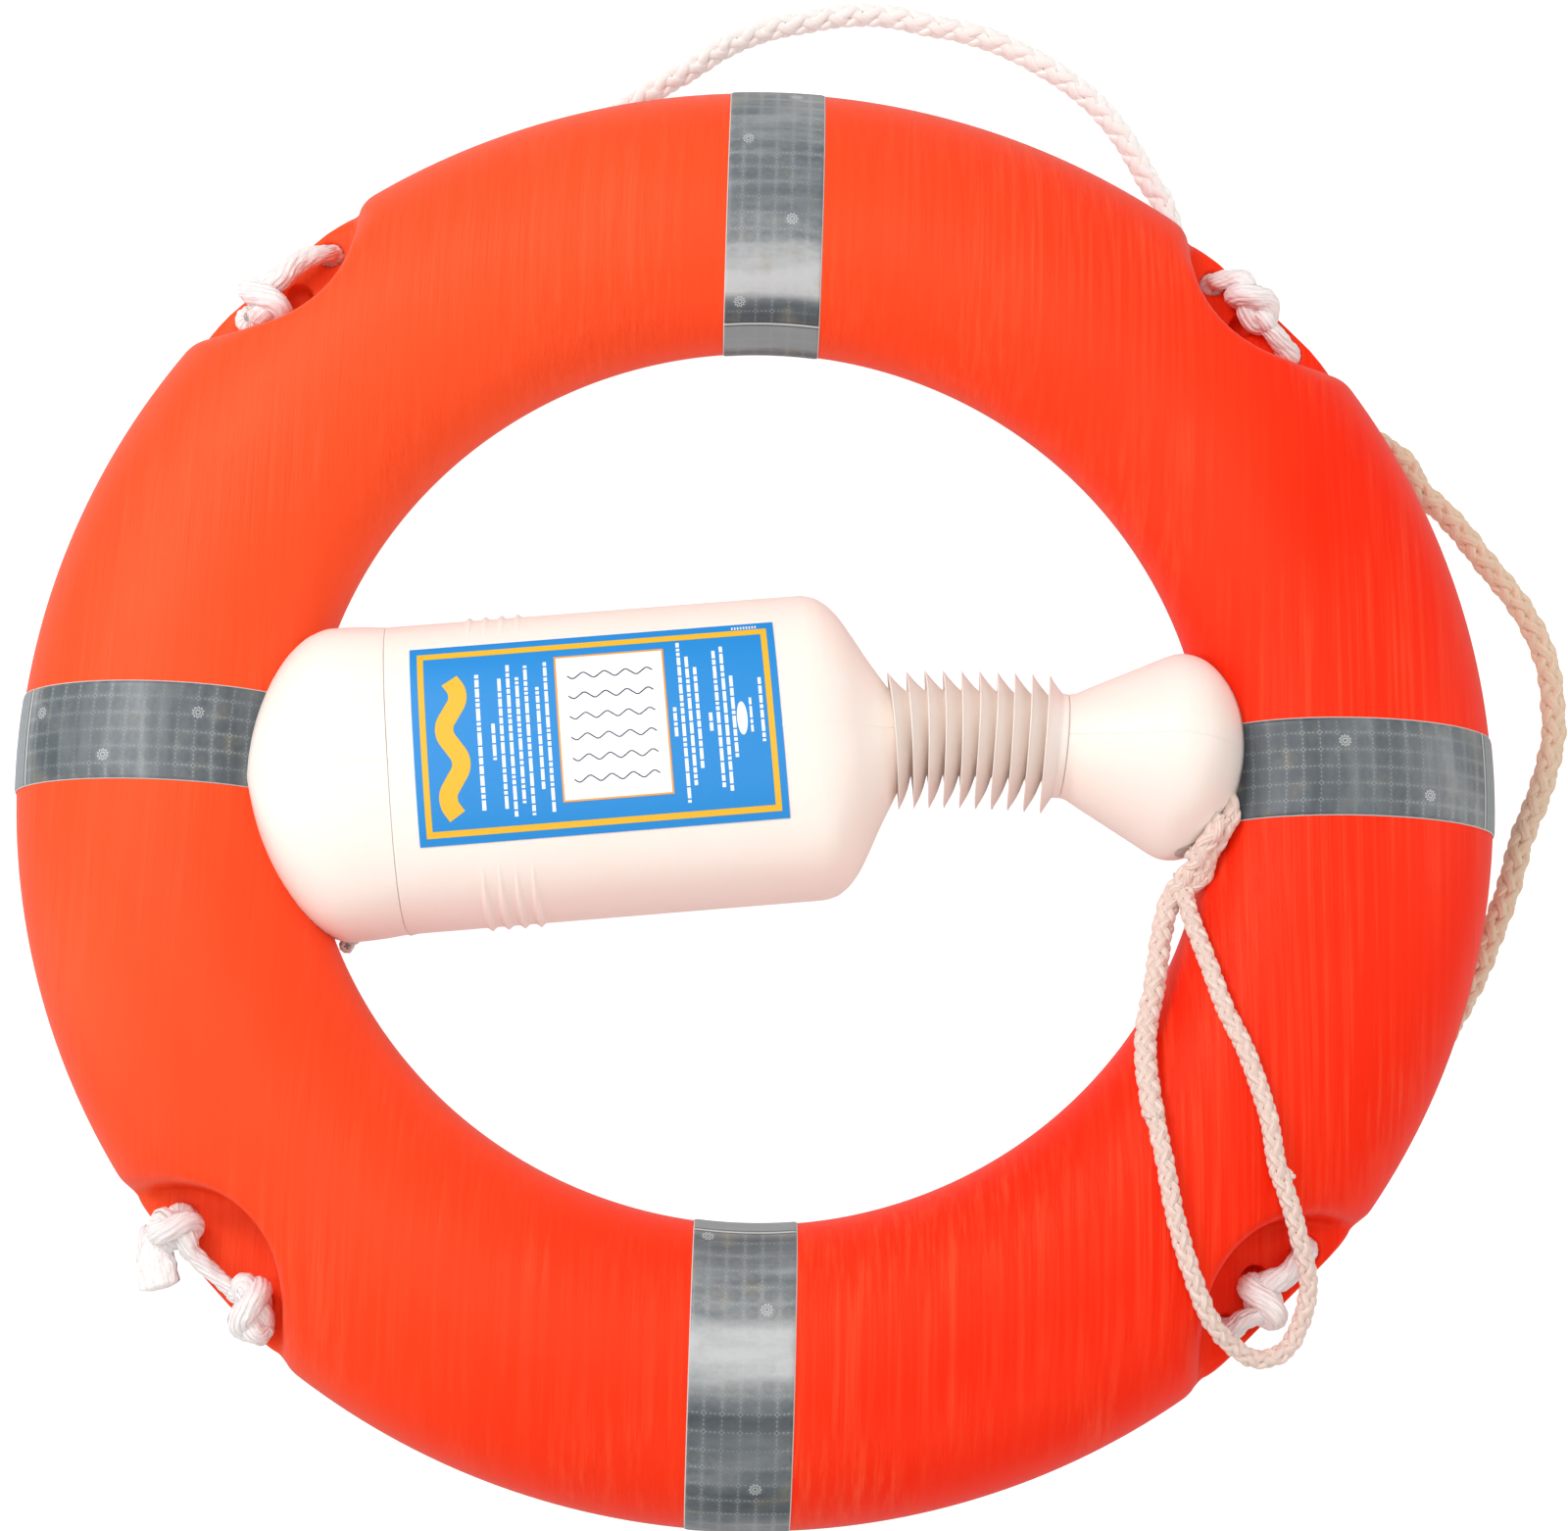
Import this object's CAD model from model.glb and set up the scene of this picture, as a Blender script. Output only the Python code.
"""Ring buoy with its grab line, and a throwing-line canister and bell lying across it.

The ring lies flat, its axis along Z. The front is +Z; seen from there +X is right and
+Y is up. Lengths are millimetres about the ring's centre; make() turns them into metres.
"""
import math
import bpy
import numpy as np
from mathutils import Matrix, Vector

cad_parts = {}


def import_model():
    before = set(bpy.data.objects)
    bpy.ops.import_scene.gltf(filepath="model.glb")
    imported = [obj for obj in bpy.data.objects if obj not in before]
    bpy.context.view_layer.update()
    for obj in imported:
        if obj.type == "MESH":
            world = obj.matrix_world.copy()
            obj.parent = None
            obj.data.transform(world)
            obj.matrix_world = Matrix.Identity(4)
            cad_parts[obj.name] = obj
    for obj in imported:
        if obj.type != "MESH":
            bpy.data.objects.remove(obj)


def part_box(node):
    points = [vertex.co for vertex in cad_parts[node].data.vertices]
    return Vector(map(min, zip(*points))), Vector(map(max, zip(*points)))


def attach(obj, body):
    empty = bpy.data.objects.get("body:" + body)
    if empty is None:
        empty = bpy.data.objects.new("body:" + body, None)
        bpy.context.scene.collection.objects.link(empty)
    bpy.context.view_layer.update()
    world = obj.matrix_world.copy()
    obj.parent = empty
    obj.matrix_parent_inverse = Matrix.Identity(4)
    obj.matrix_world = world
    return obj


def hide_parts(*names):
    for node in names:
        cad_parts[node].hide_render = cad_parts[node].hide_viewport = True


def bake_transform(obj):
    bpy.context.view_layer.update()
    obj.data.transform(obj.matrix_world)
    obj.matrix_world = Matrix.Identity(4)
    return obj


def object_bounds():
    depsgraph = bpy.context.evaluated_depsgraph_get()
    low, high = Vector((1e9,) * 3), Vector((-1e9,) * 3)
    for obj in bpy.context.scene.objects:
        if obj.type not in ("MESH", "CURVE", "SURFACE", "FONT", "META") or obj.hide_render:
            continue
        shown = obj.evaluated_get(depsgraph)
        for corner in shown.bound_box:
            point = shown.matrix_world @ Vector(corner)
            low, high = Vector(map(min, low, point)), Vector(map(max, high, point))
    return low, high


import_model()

MM = 0.001
DEG = math.pi / 180
UP = np.array([0.0, 0.0, 1.0])

# the ring: an elliptic section swept round Z, with a flat land on the back
RING_R = 302.35                # centre of the section
HALF_W, HALF_D = 72.65, 46.0   # half its width and depth
BACK = 45.0                    # depth of the flat land behind the centre
LUGS = (135, 45, -135, -45)    # bearings of the four rope lugs
BITE_R, BITE_AT = 56.0, 390.0  # a bite from front and back at each lug: radius, centre
WEB = 4.5                      # half the thickness left between the two bites
WEB_EDGE = 371.0               # where the web is trimmed off
HOLE_R, HOLE_T = 360.0, 28.0   # the rope holes: out from the ring's centre, and aside

# the canister and the bell: origin and turn of their own frames, where x runs along
CANISTER_X, CANISTER_Y, CANISTER_TURN = -182.0, -12.5, 6.5
BELL_X, BELL_Y, BELL_TURN = 155.6, 16.0, -4.0
AXIS_Z = 6.5                   # height of the axis they share
CAN_W, CAN_D = 78.0, 50.5      # half the canister's width and depth
WALL = 2.2

CAD_BOX = [list(map(float, v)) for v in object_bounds()]
_low, _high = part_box("ring_shell")
ORIGIN = np.array([(_low[0] + _high[0]) / 2, (_low[1] + _high[1]) / 2, _low[2] + BACK * MM])


# ------------------------------------------------------------------ places
def turn(x, y, angle):
    """(x, y) turned by `angle` degrees"""
    c, s = math.cos(angle * DEG), math.sin(angle * DEG)
    return x * c - y * s, x * s + y * c


def polar(bearing, radius, z, aside=0.0):
    return np.array([*turn(radius, aside, bearing), z])


def placed(x0, y0, angle):
    """a function that takes points from a turned frame into the ring's"""
    def place(points):
        points = np.asarray(points, float)
        x, y = turn(points[..., 0], points[..., 1], angle)
        return np.stack([x0 + x, y0 + y, points[..., 2]], -1)
    return place


on_canister = placed(CANISTER_X, CANISTER_Y, CANISTER_TURN)
on_bell = placed(BELL_X, BELL_Y, BELL_TURN)


def circle(count):
    return np.linspace(0, 2 * np.pi, count, endpoint=False)


def unit(vectors):
    return vectors / np.linalg.norm(vectors, axis=1)[:, None]


# ------------------------------------------------------------------ meshes
# a mesh is (verts, [face arrays]) or (verts, [face arrays], uv by vertex)
def make(name, mesh, mats, body=None, cad=None, smooth=True):
    verts, faces, *uv = mesh
    data = bpy.data.meshes.new(name)
    verts = ORIGIN + np.asarray(verts, float) * MM
    loops = np.concatenate([f.reshape(-1) for f in faces]).astype(np.int32)
    total = np.concatenate([np.full(len(f), f.shape[1]) for f in faces]).astype(np.int32)
    start = np.concatenate([[0], np.cumsum(total)[:-1]]).astype(np.int32)
    data.vertices.add(len(verts))
    data.vertices.foreach_set("co", verts.astype(np.float32).ravel())
    data.loops.add(len(loops))
    data.loops.foreach_set("vertex_index", loops)
    data.polygons.add(len(total))
    data.polygons.foreach_set("loop_start", start)
    data.polygons.foreach_set("loop_total", total)
    data.polygons.foreach_set("use_smooth", np.full(len(total), smooth))
    data.update(calc_edges=True)
    if uv:
        layer = data.uv_layers.new(name="UVMap")
        layer.data.foreach_set("uv", np.asarray(uv[0], np.float32)[loops].ravel())
    data.validate()
    ob = bpy.data.objects.new(name, data)
    bpy.context.scene.collection.objects.link(ob)
    for mat in mats:
        data.materials.append(mat)
    if body:
        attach(ob, body)
    if cad:
        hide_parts(cad)
    return ob


def add_rest(ob):
    """keep the rest position in millimetres, so that a pose doesn't move the pattern"""
    data = ob.data
    co = np.empty(len(data.vertices) * 3, np.float32)
    data.vertices.foreach_get("co", co)
    co = (co.reshape(-1, 3) - ORIGIN) / MM
    rest = data.attributes.new("rest", "FLOAT_VECTOR", "POINT")
    rest.data.foreach_set("vector", co.astype(np.float32).ravel())


def stand_in(cad, mesh, mats, body):
    """an object in place of the CAD piece it is named after"""
    return make(cad + "_v", mesh, mats, body, cad)


def part(cad, mesh, mat, body):
    ob = stand_in(cad, mesh, [mat], body)
    add_rest(ob)
    return ob


def grid_faces(n, m, wrap_n=False, wrap_m=False, flip=False):
    i = np.arange(n if wrap_n else n - 1)[:, None]
    j = np.arange(m if wrap_m else m - 1)[None]
    i1, j1 = (i + 1) % n, (j + 1) % m
    quads = np.stack([i * m + j, i * m + j1, i1 * m + j1, i1 * m + j], -1).reshape(-1, 4)
    return quads[:, ::-1] if flip else quads


def closed_grid(rings, flip=False):
    """rings joined one to the next, and the last to the first"""
    n, m = rings.shape[:2]
    return rings.reshape(-1, 3), [grid_faces(n, m, True, True, flip)]


def capped(rings, first, last, flip=True):
    """rings closed at both ends by a fan about the points `first` and `last`"""
    n, m = rings.shape[:2]
    j = np.arange(m)
    j1, k = (j + 1) % m, (n - 1) * m
    fans = np.vstack([np.stack([np.full(m, n * m), j, j1], -1),
                      np.stack([np.full(m, n * m + 1), k + j1, k + j], -1)])
    if not flip:
        fans = fans[:, [0, 2, 1]]
    verts = np.vstack([rings.reshape(-1, 3), first, last])
    return verts, [grid_faces(n, m, wrap_m=True, flip=flip), fans]


def solid(rings):
    return capped(rings, rings[0].mean(0), rings[-1].mean(0))


def merge(parts):
    """meshes as one, all its quads before its triangles"""
    verts, face_lists, *uvs = zip(*parts)
    starts = np.cumsum([0] + [len(v) for v in verts])
    faces = [f + start for fs, start in zip(face_lists, starts) for f in fs]
    by_size = [[f for f in faces if f.shape[1] == size] for size in (4, 3)]
    return (np.vstack(verts), [np.vstack(fs) for fs in by_size if fs], *map(np.vstack, uvs))


def resample(path, count):
    """`count` points evenly along a polyline, and its length"""
    dist = np.r_[0, np.cumsum(np.linalg.norm(np.diff(path, axis=0), axis=1))]
    s = np.linspace(0, dist[-1], count)
    return np.stack([np.interp(s, dist, column) for column in path.T], 1), dist[-1]


def spline(points, count):
    """even points along a Catmull-Rom curve, and its length"""
    points = np.asarray(points, float)
    ends = 2 * points[0] - points[1], 2 * points[-1] - points[-2]
    q = np.vstack([ends[0], points, ends[1]])
    t = np.linspace(0, 1, 24, endpoint=False)[:, None]
    out = []
    for i in range(len(q) - 3):
        a, b, c, d = q[i:i + 4]
        out.append(0.5 * ((2 * b) + (-a + c) * t + (2 * a - 5 * b + 4 * c - d) * t ** 2
                          + (-a + 3 * b - 3 * c + d) * t ** 3))
    return resample(np.vstack(out + [points[-1:]]), count)


def paced(points, step):
    """a spline sampled about every `step`: its points and their distances along it"""
    _, length = spline(points, 10)
    count = max(12, int(length / step))
    return spline(points, count)[0], np.linspace(0, length, count)


def frames(curve):
    """tangents and two normals along a curve, carried on without twist"""
    tangent = unit(np.gradient(curve, axis=0))
    side = np.cross(UP, tangent[0])
    if np.linalg.norm(side) < 0.2:
        side = np.cross((1, 0, 0), tangent[0])
    side /= np.linalg.norm(side)
    sides = np.zeros_like(curve)
    for i in range(len(curve)):
        side = side - tangent[i] * (side @ tangent[i])
        side /= np.linalg.norm(side)
        sides[i] = side
    return tangent, sides, np.cross(tangent, sides)


def tube(curve, radius, sides):
    _, side, over = frames(curve)
    angle = circle(sides)[None, :, None]
    rings = curve[:, None] + radius * (np.cos(angle) * side[:, None]
                                       + np.sin(angle) * over[:, None])
    return capped(rings, curve[0], curve[-1])


CORE_U = -5000.0    # u of a braid's core, which tells its shader to paint it as a gap


def braid(points, radius, lay, step, wide, thick, amp, per=4, seg=8, jitter=0.0):
    """Plaited rope: `per` strands each way, crossing over and under, round a core.

    lay: length of one turn; wide: strand width over its share of the rope; thick, amp:
    half a strand's thickness and its rise and fall, over the radius; seg: its sides.
    """
    curve, s = paced(points, step)
    n = len(curve)
    _, side, over = frames(curve)
    half_t, rise = radius * thick, radius * amp
    lay_r = radius - half_t - rise
    slope = math.atan(2 * math.pi * lay_r / lay)
    half_w = 2 * math.pi * lay_r / per * math.cos(slope) / 2 * wide
    crossing = 8 * s / lay * (per / 4.0)
    c, d = np.cos(circle(seg)), np.sin(circle(seg))
    strand_w = np.sign(c) * np.abs(c) ** 0.8 * half_w
    strand_t = np.sign(d) * np.abs(d) ** 0.9 * half_t
    parts = []
    for way in (1, -1):
        for i in range(per):
            wander = jitter * np.sin(s * 2 * np.pi / (lay * 1.7) + i * 2.1 + way)
            angle = way * 2 * np.pi * s / lay + 2 * np.pi * i / per + wander
            height = lay_r + way * rise * np.cos(np.pi * crossing)
            out = np.cos(angle)[:, None] * side + np.sin(angle)[:, None] * over
            centre = curve + out * height[:, None]
            tangent = unit(np.gradient(centre, axis=0))
            normal = unit(out - tangent * np.sum(out * tangent, 1)[:, None])
            across = np.cross(tangent, normal)
            rings = centre[:, None] + (strand_w[None, :, None] * across[:, None]
                                       + strand_t[None, :, None] * normal[:, None])
            verts, (quads, fans) = capped(rings, centre[0], centre[-1])
            fans[seg:] = np.roll(fans[seg:], -1, axis=1)    # the far fan goes rim first
            uv = np.stack([np.repeat(s, seg) + 37.3 * i + 11 * way, np.tile(strand_w, n)], -1)
            uv = np.vstack([uv, [[s[0], 0.0], [s[-1], 0.0]]])
            parts.append((verts, [quads, fans], uv))
    core = tube(curve, lay_r + half_t * 0.15, 10)
    parts.append((*core, np.full((len(core[0]), 2), CORE_U)))
    return merge(parts)


def bundle(points, radius, seed, lobes=11, twist=0.06, relief=0.085, sides=64, step=0.7,
           squash=(1.0, 1.0)):
    """Soft slack-laid rope: a fat bundle of yarns, creased lengthwise.

    radius: one value, or [(fraction of the length, radius), ...]
    """
    if np.isscalar(radius):
        radius = [(0, radius)]
    curve, s = paced(points, step)
    length = s[-1]
    _, side, over = frames(curve)
    base_r = np.interp(s / length, *zip(*radius))
    phase = np.random.default_rng(seed).uniform(0, 6.28, 6)
    A, S = np.meshgrid(circle(sides), s)
    wobble = 0.5 * np.sin(S / 7.3 + phase[0]) + 0.35 * np.sin(S / 3.1 + phase[1] + 2 * A)
    yarns = np.abs(np.cos(lobes / 2 * (A + twist * S) + wobble)) ** 0.75
    threads = np.abs(np.cos(lobes * 1.5 * (A + twist * S * 0.8) + wobble * 1.7 + phase[2]))
    strays = np.abs(np.cos(lobes * 0.5 * (A - twist * 1.4 * S)
                           + 1.3 * np.sin(S / 5.1 + phase[5]) + 0.8 * np.sin(S / 2.2 + A)))
    r = base_r[:, None] * (1 - relief + relief * 0.75 * yarns + relief * 0.5 * strays
                           + 0.045 * threads)
    r = (r + 0.30 * np.sin(S / 4.7 + A * 2 + phase[3])
         + 0.20 * np.sin(S / 2.1 - A * 3 + phase[4])
         + 0.12 * np.sin(S / 1.1 + A * 5 + phase[0]))
    ends = np.sqrt(np.clip(np.minimum(s, length - s) / 2.2 + 0.15, 0, 1))    # rounded off
    r = (r * ends[:, None])[..., None]
    rings = curve[:, None] + r * (np.cos(A)[..., None] * side[:, None] * squash[0]
                                  + np.sin(A)[..., None] * over[:, None] * squash[1])
    uv = np.stack([S.ravel() + 13.0 * seed, (A * 5.0 + S * twist * 5.0).ravel()], -1)
    return (*capped(rings, curve[0], curve[-1]), np.vstack([uv, np.zeros((2, 2))]))


# ------------------------------------------------------------------ shader helpers
def operator(kind, swap=False):
    def apply(self, *other):
        args = (self, *other)
        return self.shader.math(kind, *(args[::-1] if swap else args))
    return apply


class Value:
    """an output socket; arithmetic on it adds math nodes"""
    def __init__(self, shader, socket):
        self.shader, self.socket = shader, socket

    def output(self, key):
        """another output of the same node"""
        return Value(self.shader, self.socket.node.outputs[key])

    __add__, __radd__ = operator("ADD"), operator("ADD", True)
    __sub__, __rsub__ = operator("SUBTRACT"), operator("SUBTRACT", True)
    __mul__, __rmul__ = operator("MULTIPLY"), operator("MULTIPLY", True)
    __truediv__, __pow__ = operator("DIVIDE"), operator("POWER")
    __lt__, __gt__ = operator("LESS_THAN"), operator("GREATER_THAN")
    __abs__ = operator("ABSOLUTE")


class Shader:
    """the nodes of a material or world; `end` is the node that set() feeds"""
    def __init__(self, owner, end="Principled BSDF"):
        owner.use_nodes = True
        self.owner, self.tree = owner, owner.node_tree
        self.end = self.tree.nodes[end]

    def feed(self, socket, value):
        if isinstance(value, Value):
            self.tree.links.new(value.socket, socket)
        else:
            socket.default_value = value

    def set(self, inputs):
        for key, value in inputs.items():
            self.feed(self.end.inputs[key], value)
        return self.owner

    def add(self, kind, inputs=(), out=0, **settings):
        node = self.tree.nodes.new(kind)
        for key, value in settings.items():
            setattr(node, key, value)
        for key, value in dict(inputs).items():
            self.feed(node.inputs[key], value)
        return Value(self, node.outputs[out])

    def math(self, operation, *args):
        return self.add("ShaderNodeMath", enumerate(args), operation=operation)

    def mix(self, factor, a, b):
        return self.add("ShaderNodeMix", {0: factor, 6: a, 7: b}, 2, data_type="RGBA")

    def noise(self, vector, scale, detail=3, rough=0.5, stretch=None):
        if stretch:
            vector = self.add("ShaderNodeMapping", {"Vector": vector, "Scale": stretch})
        return self.add("ShaderNodeTexNoise", {"Vector": vector, "Scale": scale,
                                               "Detail": detail, "Roughness": rough}, "Fac")

    def ramp(self, factor, stops):
        """stops: (position, grey or colour)"""
        out = self.add("ShaderNodeValToRGB", {0: factor})
        elements = out.socket.node.color_ramp.elements
        while len(elements) < len(stops):
            elements.new(0.5)
        for element, (position, c) in zip(elements, stops):
            element.position = position
            element.color = c if isinstance(c, tuple) else (c, c, c, 1)
        return out

    def bump(self, height, strength, distance, **normal):
        inputs = {"Height": height, "Strength": strength, "Distance": distance}
        return self.add("ShaderNodeBump", {**inputs, **normal})

    def attribute(self, name, out):
        return self.add("ShaderNodeAttribute", out=out, attribute_name=name,
                        attribute_type="GEOMETRY")

    def uv(self):
        """the UV vector, u and v"""
        uv = self.add("ShaderNodeUVMap", uv_map="UVMap")
        u = self.add("ShaderNodeSeparateXYZ", {0: uv})
        return uv, u, u.output(1)


def material(name):
    return Shader(bpy.data.materials.new(name))


def srgb(*c):
    """linear colour from 8-bit sRGB"""
    c = np.array(c, float) / 255.0
    return tuple(np.where(c <= 0.04045, c / 12.92, ((c + 0.055) / 1.055) ** 2.4)) + (1.0,)


def tinted(colour, factors):
    return tuple(np.clip(np.array(colour) * factors, 0, 1))


# ------------------------------------------------------------------ materials
def ring_material():
    """orange-red, fading towards the upper left, scuffed in drawn-out streaks"""
    m = material("ring_plastic")
    rest = m.attribute("rest", "Vector")
    big = m.noise(rest, scale=0.005, detail=2)
    streak = m.noise(rest, scale=1.0, stretch=(0.34, 0.0045, 0.06), rough=0.6)
    fine = m.noise(rest, scale=1.0, stretch=(1.05, 0.010, 0.2), rough=0.7)
    patches = m.noise(rest, scale=0.011)
    slope = m.add("ShaderNodeVectorMath", {0: rest, 1: (-0.00185, 0.00095, 0.0006)}, "Value",
                  operation="DOT_PRODUCT")
    faded = m.ramp(slope + 0.5 + (big - 0.5) * 0.5, [(0.08, 0.0), (1.0, 1.0)])
    fresh_red, faded_red = (0.90, 0.019, 0.0026, 1), (0.91, 0.076, 0.0185, 1)
    pale_scuff, dark_scuff = (0.98, 0.12, 0.045, 1), (0.62, 0.012, 0.004, 1)
    colour = m.mix(faded, fresh_red, faded_red)
    pale = m.ramp(streak, [(0.46, 0.0), (0.78, 1.0)])
    worn = m.ramp(patches, [(0.38, 0.15), (0.62, 1.0)])
    colour = m.mix(pale * worn * 0.45, colour, pale_scuff)
    dark = m.ramp(fine, [(0.30, 1.0), (0.48, 0.0)])
    colour = m.mix(dark * worn * 0.22, colour, dark_scuff)
    scuffs = m.bump((streak * 0.8 + fine * 0.9) * worn, strength=0.55, distance=0.0007)
    grain = m.noise(rest, scale=1.3, detail=4)
    return m.set({
        "Base Color": colour,
        "Roughness": streak * 0.25 + 0.27,
        "Specular IOR Level": 0.36,
        "Specular Tint": (1.0, 0.42, 0.25, 1),
        "Normal": m.bump(grain, strength=0.06, distance=0.0005, Normal=scuffs)})


def white_material():
    m = material("canister_plastic")
    rest = m.attribute("rest", "Vector")
    base = (0.93, 0.83, 0.765, 1)
    height = m.noise(rest, scale=0.035) * 1.0 + m.noise(rest, scale=1.6) * 0.05
    return m.set({
        "Base Color": m.mix(m.noise(rest, scale=0.02), base,
                            tinted(base, (1.0, 0.955, 0.93, 1))),
        "Roughness": m.noise(rest, scale=0.3, detail=4) * 0.14 + 0.35,
        "Subsurface Weight": 0.25,
        "Subsurface Radius": (0.008, 0.005, 0.004),
        "Subsurface Scale": 0.4,
        "Normal": m.bump(height, strength=0.35, distance=0.0012)})


def rope_material(name, base, dark, rough, yarn=2.6, sheen=0.1, gap=(0.22, 0.2, 0.19, 1),
                  bump=0.55):
    """yarn: fineness of the fibres across a strand; gap: colour of the core"""
    m = material(name)
    uv, u, v = m.uv()
    stretched = m.add("ShaderNodeCombineXYZ", {0: u * 0.10, 1: v * yarn})
    fibres = m.noise(stretched, scale=1.6, rough=0.7)
    yarns = m.math("SINE", v * (yarn * 3.4) + fibres * 5.0)
    colour = m.mix(m.ramp(fibres, [(0.25, 0.0), (0.7, 1.0)]), dark, base)
    colour = m.mix(m.noise(uv, scale=0.03, detail=2) * 0.25, colour, base)
    return m.set({
        "Base Color": m.mix(u < CORE_U * 0.4, colour, gap),
        "Roughness": fibres * 0.25 + (rough - 0.12),
        "Sheen Weight": sheen,
        "Subsurface Weight": 0.15,
        "Subsurface Radius": (0.004, 0.003, 0.002),
        "Subsurface Scale": 0.3,
        "Normal": m.bump(yarns * 0.5 + fibres, strength=bump, distance=0.0005)})


def tape_material(name, seam, lap_end, marks):
    """Reflective film; u runs along the tape and v across it, in millimetres.

    seam, lap_end: u of the lap's two ends; marks: (u, v) of the rosettes
    """
    m = material(name)
    uv, u, v = m.uv()
    cell = 8.6    # the pattern's repeat

    def sqrt(x):
        return m.math("SQRT", x)

    def larger(a, b):
        return m.math("MAXIMUM", a, b)

    def within(x, size):
        """x in its cell of `size`, from -0.5 to 0.5"""
        return m.math("FRACT", x / size) - 0.5

    cloud = m.noise(uv, scale=0.06)
    fine = m.noise(uv, scale=0.45, detail=4, rough=0.6)
    smear = m.noise(uv, scale=1.0, stretch=(0.10, 0.022, 1.0), rough=0.6)
    glare = m.attribute("glare", "Fac") + ((smear - 0.5) * 0.55 + (fine - 0.5) * 0.14)
    base = m.ramp(glare, [(0.02, (0.050, 0.062, 0.072, 1)), (0.22, (0.095, 0.112, 0.124, 1)),
                          (0.45, (0.165, 0.185, 0.197, 1)), (0.62, (0.27, 0.285, 0.29, 1)),
                          (0.95, (0.50, 0.505, 0.51, 1))])
    warm = m.ramp(cloud, [(0.55, 0.0), (0.70, 1.0)]) * 0.28
    base = m.mix(warm, base, (0.30, 0.255, 0.16, 1))

    # small crosses along the cells' sides, and a circle at their corners
    cell_u, cell_v = within(u, cell), within(v, cell)
    to_side_u, to_side_v = (0.5 - abs(cell_u)) * cell, (0.5 - abs(cell_v)) * cell
    quarter_v = abs(within(v, cell / 4)) * (cell / 4)
    quarter_u = abs(within(u, cell / 4)) * (cell / 4)

    def cross(a, b):
        return larger((a < 0.17) * (b < 0.78), (b < 0.17) * (a < 0.55))

    glyph = larger(cross(to_side_u, quarter_v), cross(to_side_v, quarter_u))
    corner = sqrt(to_side_u ** 2.0 + to_side_v ** 2.0)
    corner_circle = abs(corner - 0.85) < 0.2
    glyph = larger(glyph * (corner > 1.0), corner_circle)

    # a soft dark disc in each cell
    middle = sqrt(cell_u * cell_u + cell_v * cell_v) * cell
    disc = 1.0 - m.math("SMOOTH_MIN", larger((middle - 2.9) * 1.4, 0.0), 1.0, 0.1)
    wear = m.ramp(m.noise(uv, scale=0.028, detail=2), [(0.36, 0.15), (0.62, 1.0)])
    washed = m.math("MINIMUM", larger((glare - 0.42) * 2.2, 0.0), 0.85)
    print_left = (1.0 - washed) * wear

    # ten-petalled rosettes, which clear the pattern round them
    rosettes = None
    for mark_u, mark_v in marks:
        du, dv = u - mark_u, v - mark_v
        radius = sqrt(du * du + dv * dv)
        petals = 2.35 + m.math("COSINE", m.math("ARCTAN2", du, dv) * 10.0) * 0.45
        rosette = larger(abs(radius - petals) < 0.36, abs(radius - 1.05) < 0.28)
        clear = radius < 4.3
        disc = disc * (1.0 - clear)
        glyph = glyph * (1.0 - clear)
        rosettes = larger(rosettes, rosette) if rosettes else rosette

    in_lap = (u > min(seam, lap_end)) * (u < max(seam, lap_end))
    seam_line = abs(u - seam) < 0.45
    seam_shadow = abs(abs(u - seam) - 1.0) < 0.45
    cut_edge = abs(v) > 24.72
    for factor, colour in (
            (disc * print_left * 0.36, (0.035, 0.05, 0.062, 1)),
            (glyph * (0.06 + print_left * 0.34), (0.46, 0.47, 0.45, 1)),
            (rosettes * 0.62, (0.62, 0.63, 0.62, 1)),
            (in_lap * 0.75, (0.27, 0.30, 0.31, 1)),
            (seam_line * 0.8, (0.56, 0.55, 0.52, 1)),
            (seam_shadow * 0.55, (0.03, 0.04, 0.045, 1)),
            (cut_edge * 0.85, (0.74, 0.66, 0.62, 1))):
        base = m.mix(factor, base, colour)
    ripple = m.noise(uv, scale=1.0, detail=2, stretch=(0.07, 0.015, 1.0))
    return m.set({
        "Base Color": base,
        "Roughness": 0.34 + fine * 0.2,
        "Coat Weight": 0.12,
        "Coat Roughness": 0.25,
        "Normal": m.bump(ripple + glyph * 0.04, strength=0.5, distance=0.0015)})


def flat_material(name, colour, rough, coat=0.0):
    m = material(name)
    rest = m.attribute("rest", "Vector")
    grain = m.noise(rest, scale=0.5)
    dents = m.noise(rest, scale=0.08, detail=2)
    return m.set({
        "Base Color": m.mix(grain, colour, tinted(colour, (0.93, 0.93, 0.93, 1))),
        "Roughness": grain * 0.12 + (rough - 0.06),
        "Coat Weight": coat,
        "Normal": m.bump(dents, strength=0.12, distance=0.0008)})


RED = ring_material()
WHITE = white_material()
ROPE = rope_material("grab_rope", base=(0.98, 0.95, 0.92, 1), dark=(0.94, 0.85, 0.79, 1),
                     rough=0.75, gap=(0.30, 0.25, 0.20, 1))
TAN_ROPE = rope_material("grab_rope_tan", base=(0.77, 0.60, 0.45, 1),
                         dark=(0.60, 0.43, 0.30, 1), rough=0.8, yarn=0.9,
                         gap=(0.17, 0.14, 0.11, 1))
KNOT_ROPE = rope_material("knot_rope", base=(0.94, 0.90, 0.90, 1), dark=(0.86, 0.74, 0.70, 1),
                          rough=0.7, yarn=0.75, bump=1.0)
LINE_ROPE = rope_material("line_rope", base=(0.87, 0.72, 0.64, 1), dark=(0.74, 0.50, 0.42, 1),
                          rough=0.42, yarn=0.95, gap=(0.4, 0.2, 0.15, 1), bump=0.7)
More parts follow.
